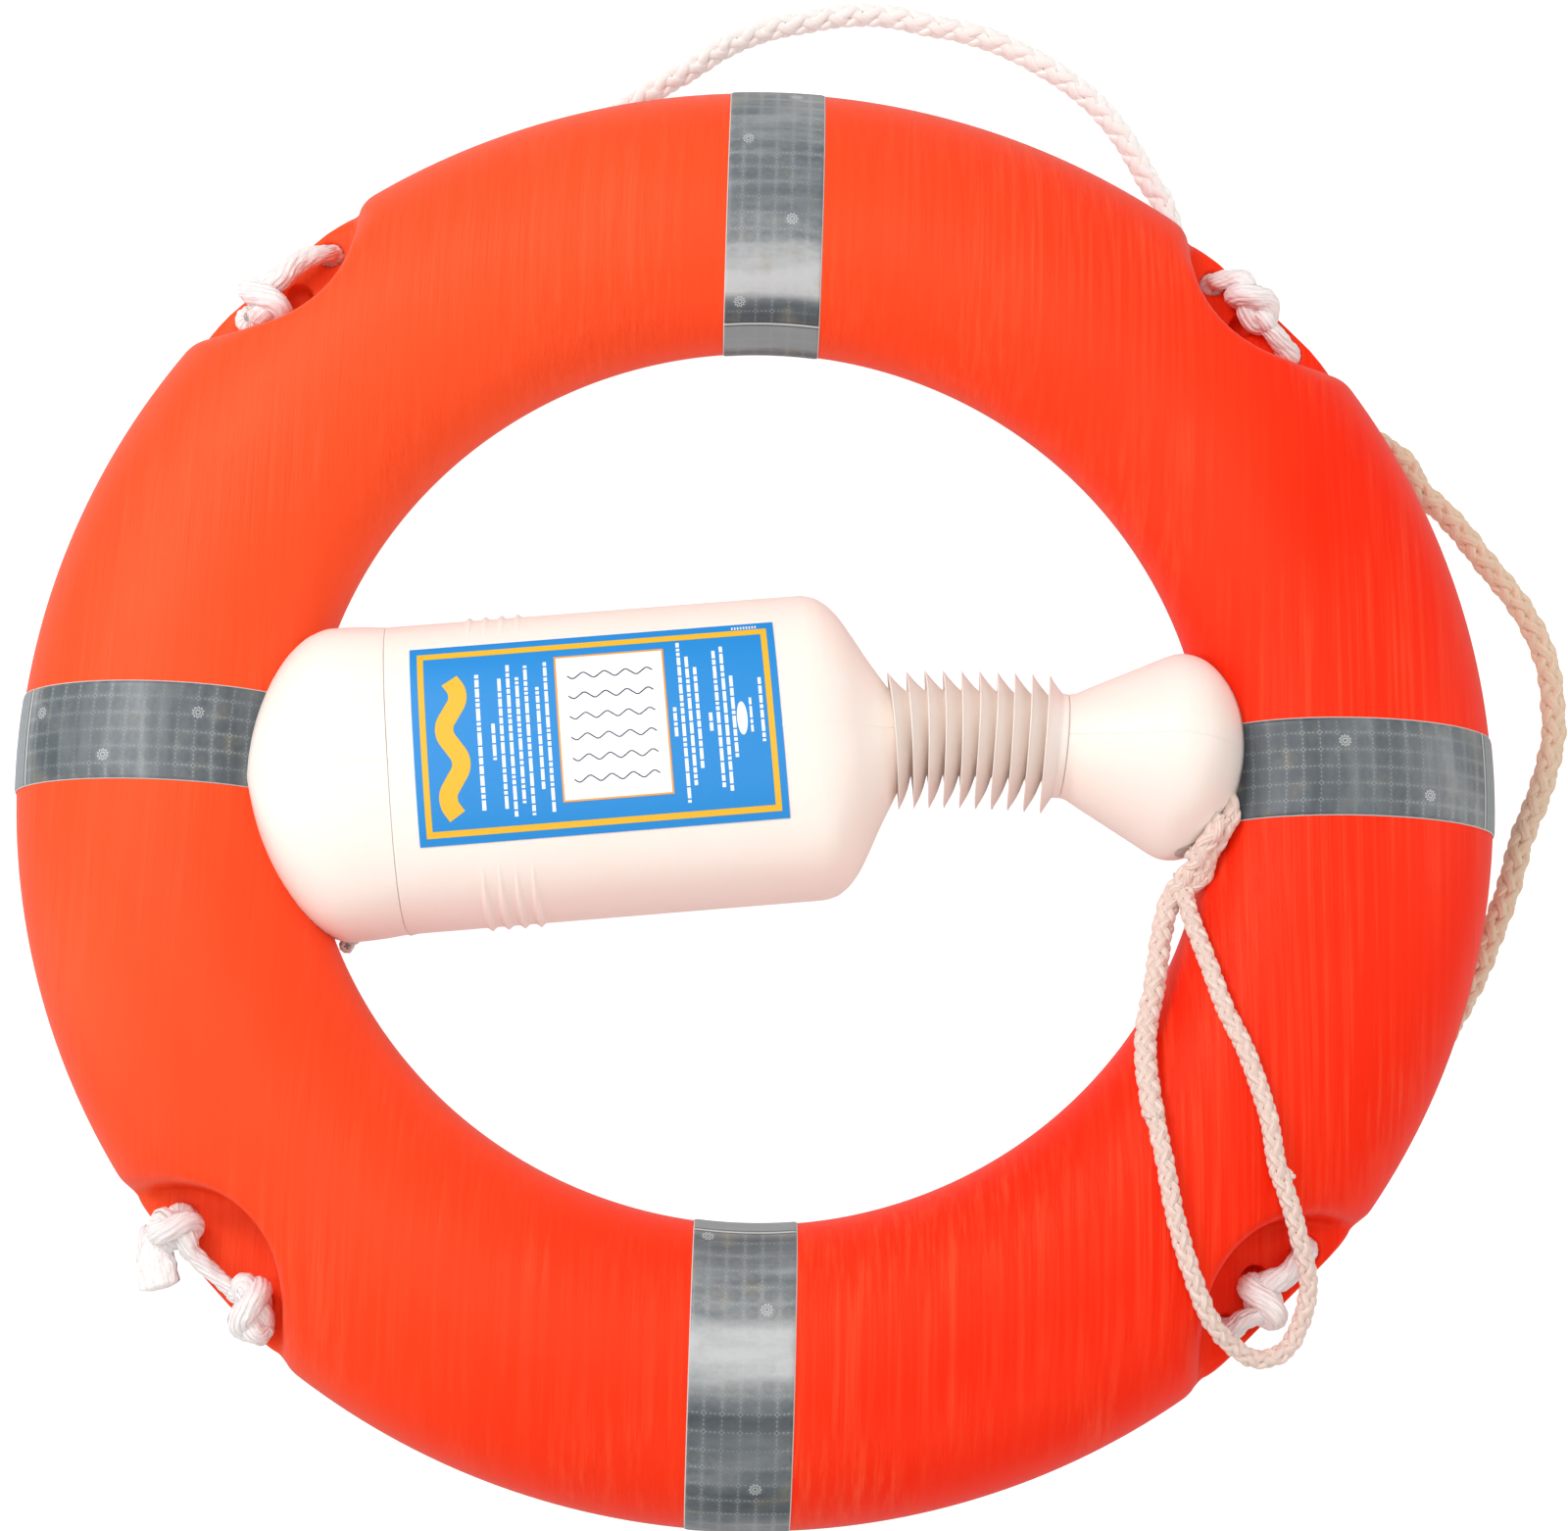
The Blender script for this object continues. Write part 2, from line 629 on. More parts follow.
TAIL_ROPE = rope_material("tail_rope", base=srgb(232, 230, 226), dark=srgb(205, 200, 196),
                          rough=0.7, sheen=0.25)
BLUE = flat_material("print_blue", (0.006, 0.25, 0.66, 1), rough=0.42)
YELLOW = flat_material("print_yellow", (0.86, 0.47, 0.012, 1), rough=0.42)
WHITE_INK = flat_material("print_white", srgb(238, 242, 246), rough=0.32, coat=0.3)
PANEL = flat_material("print_panel", srgb(252, 246, 242), rough=0.32, coat=0.3)
ORANGE = flat_material("print_orange", srgb(240, 158, 60), rough=0.32, coat=0.3)
DARK_INK = flat_material("print_dark", srgb(40, 42, 92), rough=0.32, coat=0.3)
INSIDE = flat_material("bell_inside", (0.035, 0.012, 0.03, 1), rough=0.8)


# ------------------------------------------------------------------ cutting
def cutter(name, mesh, dark=False):
    """a tool; a dark one paints what it cuts with the second material"""
    tool = make(name, mesh, [RED, INSIDE] if dark else [RED])
    if dark:
        count = len(tool.data.polygons)
        tool.data.polygons.foreach_set("material_index", np.ones(count, np.int32))
    return tool


def subtract(ob, tool):
    cut = ob.modifiers.new("cut", "BOOLEAN")
    cut.operation, cut.object, cut.solver = "DIFFERENCE", tool, "MANIFOLD"
    graph = bpy.context.evaluated_depsgraph_get()
    result = bpy.data.meshes.new_from_object(ob.evaluated_get(graph))
    ob.modifiers.clear()
    old, tool_data = ob.data, tool.data
    ob.data = result
    result.name = old.name
    bpy.data.meshes.remove(old)
    bpy.data.objects.remove(tool)
    bpy.data.meshes.remove(tool_data)


def carve(ob, mesh, dark=False):
    subtract(ob, cutter("cut_tool", mesh, dark))


def smooth_all(ob):
    for face in ob.data.polygons:
        face.use_smooth = True


def cylinder(x, y, r, z0, z1, flare=0.0):
    """an upright cylinder; with a flare it widens outside |z| = 3.4 to 4.6"""
    zs, rs = [z0, z1], [r, r]
    if flare:
        zs = [z0, -4.6, -3.4, 3.4, 4.6, z1]
        rs = [r + flare, r + flare, r, r, r + flare, r + flare]
    a = circle(40)
    rings = np.array([np.stack([x + q * np.cos(a), y + q * np.sin(a), np.full(40, z)], 1)
                      for q, z in zip(rs, zs)])
    return capped(rings, [x, y, z0], [x, y, z1], flip=False)


# ------------------------------------------------------------------ the ring
def smooth_max(a, b, k):
    h = np.maximum(k - np.abs(a - b), 0)
    return np.maximum(a, b) + h * h / (4 * k)


def torus_field(points):
    """about the distance from the plain ring, negative inside"""
    r, z = np.hypot(points[..., 0], points[..., 1]) - RING_R, points[..., 2]
    k0 = np.hypot(r / HALF_W, z / HALF_D)
    k1 = np.hypot(r / HALF_W ** 2, z / HALF_D ** 2) + 1e-9
    return smooth_max(k0 * (k0 - 1) / k1, -BACK - z, 2.0)


def ring_field(points):
    """the ring with its lugs cut to shape"""
    field = torus_field(points)
    for phi in LUGS:
        x, t = turn(points[..., 0], points[..., 1], -phi)
        near = (x > 280) & (np.abs(t) < 110)
        if not near.any():
            continue
        x, t, z = x[near], t[near], points[..., 2][near]
        blend = 5.0 + 9.0 * np.clip((np.abs(t) - 34) / 18, 0, 1)
        bite = smooth_max(np.hypot(x - BITE_AT, t) - BITE_R, WEB - np.abs(z), 4.5)
        trim = np.maximum(np.maximum(WEB_EDGE - x, np.abs(t) - 60), np.abs(z) - 8)
        field[near] = smooth_max(smooth_max(field[near], -bite, blend), -trim, 2.0)
    return field


def settle_on(points, field, iters, level=0.0, h=0.05, longest=2.5):
    """points moved by Newton steps to where the field is `level`"""
    for _ in range(iters):
        error = field(points) - level
        slope = np.stack([(field(points + h * e) - field(points - h * e)) / (2 * h)
                          for e in np.eye(3)], -1)
        step = (error / np.maximum(np.sum(slope * slope, -1), 0.05))[..., None] * slope
        size = np.linalg.norm(step, axis=-1, keepdims=True)
        points = points - step * np.minimum(1, longest / np.maximum(size, 1e-9))
    return points


def ring_mesh():
    fine, split_r = 11.5, 322.0    # degrees of close columns by a lug; where sections divide
    bearings = []
    for phi in sorted(p % 360 for p in LUGS):
        bearings += list(phi + np.arange(-fine, fine + 0.01, 0.25))
        bearings += list(phi + fine + (90 - 2 * fine) * np.arange(1, 60) / 60)
    bearings = np.sort(np.array(bearings) % 360)
    t = np.linspace(math.pi, 0, 2001)
    half = np.stack([RING_R + HALF_W * np.cos(t), HALF_D * np.sin(t)], 1)
    split = np.searchsorted(half[:, 0], split_r)
    inner = resample(half[:split + 1], 44)[0]
    sections = []
    for bearing in bearings:
        off = min(((bearing - p + 180) % 360 - 180 for p in LUGS), key=abs) * DEG
        gap = BITE_R ** 2 - (BITE_AT * math.sin(off)) ** 2
        bite = BITE_AT * math.cos(off) - math.sqrt(gap) if gap > 0 else 1e9
        edge = WEB_EDGE / math.cos(off)
        outer = half[split:]
        if bite < 374.2 and bite < edge - 0.3:
            top = HALF_D * math.sqrt(max(0, 1 - ((bite - RING_R) / HALF_W) ** 2))
            end, web = min(edge, 375), min(WEB, top)
            before = half[split:np.searchsorted(half[:, 0], bite)]
            outer = np.vstack([before, [[bite, top]], [[bite, web]], [[end, web]], [[end, 0]]])
        front = np.vstack([inner, resample(outer, 50)[0][1:]])
        section = np.vstack([front, front[::-1][1:-1] * (1, -1)])
        sections.append(np.stack([*turn(section[:, 0], 0.0, bearing), section[:, 1]], 1))
    rings = np.array(sections)
    points = settle_on(rings.reshape(-1, 3), ring_field, iters=6)
    return closed_grid(points.reshape(rings.shape))


ring = stand_in("ring_shell", ring_mesh(), [RED], "ring")
holes = []
for phi in LUGS:
    for radius, aside in ((HOLE_R, -HOLE_T), (353, 0), (HOLE_R, HOLE_T)):
        if phi == -135 and aside == 0:
            continue       # left undrilled
        x, y = turn(radius, aside, phi)
        z0, flare = (-9, 1.3) if aside else (-2.5, 0.0)
        holes.append(cylinder(x, y, 6.9, z0, 9, flare))
carve(ring, merge(holes))
smooth_all(ring)

# a shallow round pocket in the back land, and the plug in it
plug_x, plug_y = turn(RING_R, 0, 205)
carve(ring, cylinder(plug_x, plug_y, 8.4, -46.5, -44.2))
add_rest(ring)
# radius, z
PLUG = [(0.01, -45.2), (5.2, -45.2), (5.6, -45.05), (6.0, -45.2), (7.2, -45.2), (7.9, -45.0),
        (8.15, -44.5), (8.15, -44.1)]
a = circle(48)
verts = np.vstack([np.stack([plug_x + r * np.cos(a), plug_y + r * np.sin(a), np.full(48, z)], 1)
                   for r, z in PLUG])
part("filler_plug", (verts, [grid_faces(len(PLUG), 48, wrap_m=True, flip=True)]), RED, "ring")


# ------------------------------------------------------------------ tapes
def tape(cad, phi, seam_r, lap_r, marks, glare):
    """A band round the ring's section at bearing phi.

    seam_r, lap_r: radii of the lap's two ends on the front; marks: (radius, v) of the
    rosettes; glare: (radius, lightness) over the front
    """
    n, m = 420, 27
    angle = circle(n) + 200 * DEG
    across = np.linspace(-25.2, 25.2, m)
    t = np.tile(across, n)
    radius = RING_R + HALF_W * np.cos(angle)
    front = np.sin(angle) > 0

    def place(x, z):
        return np.stack([*turn(x, t, phi), z], 1)

    start = place(np.sqrt(np.maximum(np.repeat(radius, m) ** 2 - t ** 2, 1)),
                  np.repeat(HALF_D * np.sin(angle), m))

    def settle(level):
        points = settle_on(start, torus_field, 4, level)
        x, _ = turn(points[:, 0], points[:, 1], -phi)
        return place(x, points[:, 2]).reshape(n, m, 3)

    outer = settle(0.62 - 0.35 * (np.abs(t) > 24.9))    # thinner at the cut edges
    inner = settle(0.12)
    middle = outer[:, m // 2]
    spans = np.linalg.norm(np.roll(middle, -1, 0) - middle, axis=1)
    u = np.r_[0, np.cumsum(spans)][:n]
    full = u[-1] + spans[-1]

    def u_at(r):
        i = np.where(front)[0]
        return float(u[i[np.argmin(np.abs(radius[i] - r))]])

    seam, lap_end = u_at(seam_r), u_at(lap_r)
    if abs(lap_end - seam) > full / 2:
        lap_end += full if lap_end < seam else -full
    in_lap = (u > min(seam, lap_end)) & (u < max(seam, lap_end))
    normal = unit(np.stack([np.cos(angle) / HALF_W, np.sin(angle) / HALF_D], 1))
    lift = np.stack([*turn(normal[:, 0], 0.0, phi), normal[:, 1]], 1) * (in_lap * 0.3)[:, None]
    sheet = np.concatenate([outer + lift[:, None], inner[:, ::-1]], axis=1)
    uv = np.stack([np.repeat(u, 2 * m), np.tile(np.r_[across, across[::-1]], n)], 1)
    film = tape_material(cad + "_v_film", seam, lap_end, [(u_at(r), v) for r, v in marks])
    ob = stand_in(cad, (*closed_grid(sheet), uv), [film], "ring")

    # the faces that close the loop run on past the full length
    layer = ob.data.uv_layers[0].data
    loop_uv = np.empty(len(ob.data.loops) * 2, np.float32)
    layer.foreach_get("uv", loop_uv)
    loop_uv = loop_uv.reshape(-1, 4, 2)
    face_u = loop_uv[..., 0]
    closing = (face_u.max(1) - face_u.min(1) > 60)[:, None]
    loop_uv[..., 0] = np.where(closing & (face_u < full / 2), face_u + full, face_u)
    layer.foreach_set("uv", loop_uv.ravel())

    light = np.interp(radius, *zip(*sorted(glare)))
    light = np.where(front, light, 0.38 + 0.12 * np.sin(angle * 5))
    attribute = ob.data.attributes.new("glare", "FLOAT", "POINT")
    attribute.data.foreach_set("value", np.repeat(light, 2 * m).astype(np.float32))


tape("tape_left", 180, seam_r=365.4, lap_r=374.6, marks=[(358, -11), (279, -10), (323, 13)],
     glare=[(370.8, 0.6), (362.6, 0.55), (361.3, 0.34), (356.0, 0.3), (347.6, 0.3),
            (337.0, 0.34), (327.7, 0.42), (320.7, 0.44), (312.8, 0.46), (304.0, 0.48),
            (298.2, 0.42), (290.2, 0.3), (282.2, 0.36), (272.0, 0.4), (263.7, 0.22),
            (253.4, 0.3)])
tape("tape_top", 90, seam_r=236.6, lap_r=230.0,
     marks=[(331, 15), (285, -9), (364, -10), (245.5, 17)],
     glare=[(367.6, 0.55), (345.4, 0.56), (325.2, 0.5), (304.6, 0.42), (296.3, 0.4),
            (286.8, 0.48), (275.7, 0.62), (265.1, 0.8), (254.6, 0.98), (249.4, 0.92),
            (246.4, 0.5), (243.2, 0.22), (238.2, 0.14), (234.3, 0.34), (231.8, 0.5),
            (229.2, 0.5)])
tape("tape_right", 0, seam_r=365.4, lap_r=374.6, marks=[(291, 13), (333.5, -13)],
     glare=[(241.6, 0.08), (256.9, 0.16), (275.1, 0.2), (285.5, 0.26), (293.1, 0.36),
            (299.8, 0.42), (305.7, 0.34), (314.6, 0.3), (323.7, 0.38), (339.4, 0.46),
            (355.2, 0.5), (369.6, 0.5)])
tape("tape_bottom", 270, seam_r=236.0, lap_r=230.0,
     marks=[(238.5, -18), (273.5, 11), (355, 8)],
     glare=[(230.8, 0.5), (237.5, 0.5), (239.6, 0.3), (245.6, 0.42), (252.5, 0.5),
            (261.1, 0.5), (271.4, 0.56), (278.8, 0.72), (285.2, 0.92), (298.8, 0.94),
            (306.0, 0.72), (313.2, 0.55), (319.4, 0.42), (323.0, 0.16), (327.4, 0.22),
            (335.8, 0.34), (346.9, 0.4), (352.3, 0.44), (358.5, 0.2), (365.7, 0.24),
            (368.4, 0.5), (372.9, 0.5)])

# ------------------------------------------------------------------ the grab line
BIGHT_Z = -37.5    # the bights run behind the web
# from a hole back to the bight: radius, sideways spread over the hole's, z
DROP = [(360, 1, -3), (360, 1, -11), (360.2, 1.02, -18), (361.2, 1.1, -28),
        (363, 1.4, BIGHT_Z + 1)]
GRAB = dict(radius=6.8, lay=58, step=1.35, wide=0.97, thick=0.32, amp=0.13, seg=12,
            jitter=0.07)


def bight(start, end, middle):
    down = [polar(start, r, z, -HOLE_T * k) for r, k, z in DROP]
    up = [polar(end, r, z, HOLE_T * k) for r, k, z in DROP[::-1]]
    return down + middle + up


def by_polar(*points):
    return [polar(bearing, radius, BIGHT_Z) for bearing, radius in points]


def by_xy(*points):
    return [(x, y, BIGHT_Z) for x, y in points]


def hug(start, end):
    """close round the ring between two bearings"""
    return by_polar(*((start + (end - start) * k, 361.5)
                      for k in (0.02, 0.16, 0.33, 0.5, 0.67, 0.84, 0.98)))


TOP = by_polar((123.5, 366), (115, 373), (107, 383)) + by_xy(
    (-67, 399), (-51, 410), (-29, 426.5), (-7, 437), (15.5, 443), (37.5, 447.5), (60, 448),
    (83, 443.5), (101, 440.5), (126, 432.5), (154, 417), (176.5, 399), (193.5, 377),
    (207, 352), (216, 336))
RIGHT = by_xy(
    (340, 196), (352, 177), (366, 163), (376, 151), (385, 138.5), (393.5, 127.5), (402, 116),
    (409, 104), (415, 90), (418.8, 74), (419.8, 54), (419, 38), (411, 10), (401, -14),
    (392.5, -42), (381.5, -70), (372, -92)) + by_polar((-20, 374), (-26, 366), (-34, 362))
for side, mat, start, end, middle in (("top", ROPE, 135, 45, TOP),
                                      ("right", TAN_ROPE, 45, -45, RIGHT),
                                      ("bottom", ROPE, -45, -135, hug(-56, -124)),
                                      ("left", ROPE, -135, -225, hug(-146, -214))):
    part(f"grab_line_{side}", braid(bight(start, end, middle), **GRAB), mat, f"{side}_bight")

# ------------------------------------------------------------------ knots
# overhand knot drawn tight: centreline for a rope of 5 mm radius, ends along x
KNOT = np.array([
    [-12.5, -3.3, -0.8], [-4.5, -4.1, -3.5], [2.1, -4.5, -8.4], [6.6, 0.9, -12.7],
    [8.3, 8.8, -11.5], [7.1, 13.7, -5.0], [4.0, 12.1, 2.5], [1.2, 5.1, 5.8],
    [-0.7, -3.1, 5.9], [-3.2, -10.7, 3.9], [-6.4, -13.9, -3.0], [-8.3, -10.5, -10.2],
    [-7.3, -2.8, -13.0], [-3.4, 3.7, -9.8], [2.7, 4.6, -4.4], [10.5, 3.5, -1.4]])
KNOT = KNOT + [0, 0, 3.5]
NEAR, FAR = 234.8, 274.4    # the rope holes' x and y, one each way


def knot(centre, heading, scale, roll=0.0, mirror=1):
    along = np.array([*heading, 0.0])
    along /= np.linalg.norm(along)
    q = KNOT * np.array(scale) * (1, mirror, 1)
    y, z = turn(q[:, 1], q[:, 2], roll)
    return list(np.asarray(centre) + q[:, :1] * along
                + y[:, None] * np.cross(UP, along) + z[:, None] * UP)


def knot_part(cad, *bundles):
    part(cad, merge(bundles), KNOT_ROPE, "ring")


def stub(x, y, z, seed):
    """a rope end standing straight up in a hole"""
    return bundle([(x, y, -9.5), (x, y, -3.0), (x, y, 3.5), (x, y, z)], 7.4, seed)


knot_part("knot_top_left", bundle(
    [(-NEAR, FAR, -9.5), (-NEAR, FAR, -2), (-234.9, 273.2, 5), (-236.4, 271.4, 11),
     (-240.5, 269.0, 15.2), (-246.5, 265.4, 17.4), (-252.6, 260.2, 18.4), (-257.8, 254.2, 18),
     *knot((-265.3, 241.6, 16.4), (-0.25, -1), (0.60, 0.72, 0.60), roll=12),
     (-270.5, 235.5, 10)],
    [(0, 7.6), (0.06, 7.4), (0.1, 4.6), (0.2, 5.0), (0.28, 5.6), (0.34, 6.3), (1, 6.3)],
    seed=1), stub(-FAR, NEAR, 10, seed=2))
knot_part("knot_top_right", bundle(
    [(NEAR, FAR, -9.5), (NEAR, FAR, -2), (234.9, 273.9, 6), (237.2, 272.6, 11.5),
     (241.6, 272.0, 14.5),
     *knot((254.3, 258.0, 15.6), (0.40, -0.92), (1.05, 0.46, 0.62), roll=-25),
     (262.8, 246.2, 13.5), (266.8, 241.2, 12), (271.2, 237.4, 8), (274.0, 235.4, 3),
     (FAR, NEAR, -3), (FAR, NEAR, -9.5)],
    [(0, 7.6), (0.06, 7.4), (0.09, 4.0), (0.15, 4.8), (0.22, 6.0), (0.70, 6.0), (0.77, 4.6),
     (0.88, 5.0), (0.93, 7.4), (1, 7.6)], seed=3))
knot_part("knot_bottom_right", bundle(
    [(FAR, -NEAR, -9.5), (FAR, -NEAR, -1), (273.3, -236.6, 8), (268.8, -241.6, 14),
     (263.0, -248.2, 16),
     *knot((251.2, -260.6, 15.2), (-0.5, -0.87), (0.60, 0.62, 0.58), roll=20),
     (242.8, -269.6, 12.5), (238.4, -273.2, 9), (235.4, -274.4, 4), (NEAR, -FAR, -3),
     (NEAR, -FAR, -9.5)],
    [(0, 7.6), (0.07, 7.2), (0.11, 5.0), (0.2, 5.2), (0.26, 6.2), (0.72, 6.2), (0.80, 4.7),
     (0.9, 5.2), (0.95, 7.4), (1, 7.6)], seed=4))
knot_part(
    "knot_bottom_left_upper",
    bundle([(-284.0, -247.0, 12), (-283.5, -240.5, 14.5),
            *knot((-275.0, -241.0, 16.2), (0.66, -0.75), (0.56, 0.52, 0.58), roll=-20),
            (-267.4, -250.4, 15.5), (-262.6, -255.4, 14), (-256.5, -260.6, 13.2),
            (-250.0, -265.6, 13.4), (-245.0, -269.6, 13.8)],
           [(0, 5.6), (0.70, 5.8), (0.78, 4.1), (0.9, 3.8), (1, 4.2)], seed=5),
    bundle([(-277.5, -243.5, 15.5), (-282.6, -247.5, 13.2), (-284.4, -253.5, 11.2),
            (-283.6, -261.0, 10.0), (-281.4, -269.4, 9.2)],
           [(0, 6.0), (0.25, 9.0), (0.6, 10.6), (1, 10.2)], seed=6, lobes=9, twist=0.01,
           relief=0.07, squash=(1.0, 0.55)),
    bundle([(-289.2, -238.8, 12.6), (-289.8, -243.0, 12.2), (-289.6, -251.5, 11.0),
            (-288.0, -262.0, 10.0)],
           [(0, 2.2), (0.4, 4.4), (1, 4.4)], seed=16, lobes=5, squash=(1.0, 0.7)),
    stub(-FAR, -NEAR, 11, seed=7))
knot_part(
    "knot_bottom_left_lower",
    bundle([(-247.0, -268.0, 13.6), (-242.8, -271.2, 14.2),
            *knot((-235.6, -278.2, 15.6), (0.38, -0.92), (1.0, 0.50, 0.62), 25, mirror=-1),
            (-229.8, -287.4, 12), (-227.6, -291.2, 10.5)],
           [(0, 4.2), (0.06, 4.8), (0.12, 5.9), (0.84, 5.9), (1, 3.8)], seed=8),
    bundle([(-233.0, -286.0, 12), (-231.4, -290.5, 10.5), (-230.4, -294.4, 9.3)],
           [(0, 4.6), (1, 3.4)], seed=18, lobes=5),
    stub(-NEAR, -FAR, 10, seed=9))


# ------------------------------------------------------------------ moulded skins
def monotone(x, xk, yk):
    """monotone cubic through the stations (xk, yk)"""
    h = np.diff(xk)
    d = np.diff(yk) / h
    slope = np.zeros_like(yk)
    for i in range(1, len(xk) - 1):
        if d[i - 1] * d[i] > 0:
            w1, w2 = 2 * h[i] + h[i - 1], h[i] + 2 * h[i - 1]
            slope[i] = (w1 + w2) / (w1 / d[i - 1] + w2 / d[i])
    slope[0], slope[-1] = d[0], d[-1]
    i = np.clip(np.searchsorted(xk, x) - 1, 0, len(xk) - 2)
    t = (x - xk[i]) / h[i]
    return ((2 * t ** 3 - 3 * t ** 2 + 1) * yk[i] + (t ** 3 - 2 * t ** 2 + t) * h[i] * slope[i]
            + (-2 * t ** 3 + 3 * t ** 2) * yk[i + 1] + (t ** 3 - t ** 2) * h[i] * slope[i + 1])


def at_stations(table, s):
    """each of the table's other columns at the distances s"""
    along, *columns = np.array(table, float).T
    return [monotone(s, along, column) for column in columns]


def stops(*parts, digits=4):
    return np.unique(np.round(np.concatenate(parts), digits))


# angles round a section, with extra columns at the mould line, front and back
_close = np.array([-2.4, -1.5, -0.9, -0.5, -0.2, 0, 0.2, 0.5, 0.9, 1.5, 2.4]) * 0.010
SKIN_ANGLES = stops(circle(128), np.pi / 2 + _close, 3 * np.pi / 2 + _close, digits=6)


def skin(s, half_w, top, bottom, power, place, off=0.0, line=0.30, shape=None):
    """Rings of a flattened tube at the distances s.

    power: of the superellipse; off pushes the surface out; line: height of the mould line;
    shape: changes the points before they are placed
    """
    s, half_w, top, bottom, power = (np.reshape(q, (-1, 1))
                                     for q in (s, half_w, top, bottom, power))
    c, d = np.cos(SKIN_ANGLES), np.sin(SKIN_ANGLES)
    e = 2.0 / power
    y = np.sign(c) * np.abs(c) ** e * np.maximum(half_w + off, 0.3)
    z = (top + bottom) / 2 + (np.sign(d) * np.abs(d) ** e
                              * np.maximum((top - bottom) / 2 + off, 0.3))
    if line:
        ridge = [np.exp(-((SKIN_ANGLES - k * np.pi / 2) / 0.006) ** 2) for k in (1, 3)]
        z = z + np.sign(d) * np.maximum(*ridge) * line
    points = np.stack([np.broadcast_to(s, y.shape), y, z], -1)
    return place(shape(points) if shape else points)


def ring_tool(off, inner_r):
    """the ring's front half grown by `off`, out from inner_r, to cut a saddle for it"""
    section = [(RING_R + (HALF_W + off) * math.cos(t), (HALF_D + off) * math.sin(t))
               for t in np.linspace(0, np.pi, 40)]
    section = [(430.0, 0.0), (430.0, -70.0), (inner_r, -70.0), (inner_r, 0.0),
               *section[::-1][1:-1]]
    r, z = np.array(section)[::-1].T
    a = circle(288)[:, None]
    return closed_grid(np.stack([r * np.cos(a), r * np.sin(a), z + 0 * a], -1))


# ------------------------------------------------------------------ the canister
# distance along, half width, half depth, power of the section
BODY = [(0.07, 78, 50.5, 2.5), (60, 78, 50.5, 2.5), (120, 78, 50.5, 2.5),
        (190, 78, 50.5, 2.5), (203, 78, 50.5, 2.5), (210, 77.9, 50.3, 2.5),
        (216, 76.6, 49.3, 2.5), (222, 73, 47.2, 2.45), (228, 66.5, 43.8, 2.4),
        (235, 55, 38.3, 2.3), (241, 44, 33.5, 2.2), (247, 34, 29.2, 2.05),
        (251.4, 26.5, 26.5, 2.0)]
BODY_END = 251.4
RIB_AT, RIB_PITCH, RIB_H = 42, 8.2, 2.1


def ribs(points):
    """four ribs on each side: lens-shaped from the side, sharp along the crest"""
    s, y, z = np.moveaxis(points, -1, 0)
    up = z - AXIS_Z
    ny = np.sign(y) * np.abs(y / CAN_W) ** 1.5 / CAN_W
    nz = np.sign(up) * np.abs(up / CAN_D) ** 1.5 / CAN_D
    size = np.hypot(ny, nz) + 1e-9
    lens = np.clip(1 - (up / np.where(y > 0, 37.0, 41.0)) ** 2, 0, 1)
    half = 2.5 * np.sqrt(lens) + 0.05
    height = np.zeros_like(s)
    for k in range(4):
        crest = np.clip(1 - np.abs(s - (RIB_AT + RIB_PITCH * k)) / half, 0, 1)
        height = np.maximum(height, RIB_H * lens ** 0.7 * crest ** 1.1)
    height = height * (np.abs(y) > 40)
    return np.stack([s, y + ny / size * height, z + nz / size * height], -1)


s = stops(np.linspace(0.07, 2.0, 5), np.linspace(2, 34, 14), np.arange(34, 76, 0.55),
          np.linspace(76, 196, 34), np.linspace(196, BODY_END, 60))
w, d, power = at_stations(BODY, s)
rounding = 0.22 * np.exp(-(s / 0.5) ** 2)    # of the open rim
w, d = w - rounding, d - rounding
outer = skin(s, w, AXIS_Z + d, AXIS_Z - d, power, on_canister, shape=ribs)
s = stops(np.linspace(0.07, 200, 40), np.linspace(200, 249, 26))
w, d, power = at_stations(BODY, s)
inner = skin(s, w, AXIS_Z + d, AXIS_Z - d, power, on_canister, off=-WALL, line=0)
throat = skin(BODY_END, 18.0, AXIS_Z + 18.0, AXIS_Z - 18.0, 2.0, on_canister, line=0)
part("canister_body", closed_grid(np.concatenate([outer, throat, inner[::-1]]), flip=True),
     WHITE, "canister")

# cap: the sawn-off end of the same moulding
# distance along, half width, top, bottom
CAP = [(-71.5, 6, 37, -20), (-70.5, 16, 40, -24), (-68.5, 28, 43, -28), (-64, 43, 46.5, -32),
       (-57, 57.5, 49.5, -35.5), (-48, 69.5, 52.3, -39), (-38, 77, 54.6, -41.5),
       (-28, 79.8, 56.2, -43.3), (-14, 79.3, 57, -44), (-0.07, 78, 57, -44)]
along_canister = np.array([*turn(1.0, 0.0, CANISTER_TURN), 0.0])
s = stops(-71.5 + 8 * np.linspace(0, 1, 14) ** 1.6, np.linspace(-63.5, -2, 44),
          np.linspace(-2, -0.07, 6))
outer = skin(s, *at_stations(CAP, s), 2.5, on_canister)
# the saw cut is a little ragged
count = outer.shape[1]
ragged = np.random.default_rng(7).normal(0, 1, count)
ragged = np.convolve(np.tile(ragged, 3), np.ones(3) / 3, "same")[count:2 * count]
outer[-1] += (ragged * 0.10 - 0.12)[:, None] * along_canister
s = stops([-69.0, -68.0, -66.0], np.linspace(-63, -0.07, 30))
inner = skin(s, *at_stations(CAP, s), 2.5, on_canister, off=-WALL, line=0)
cap = stand_in("canister_cap", solid(np.concatenate([outer, inner[::-1]])), [WHITE], "cap")
carve(cap, ring_tool(1.0, 228.6))
smooth_all(cap)
add_rest(cap)

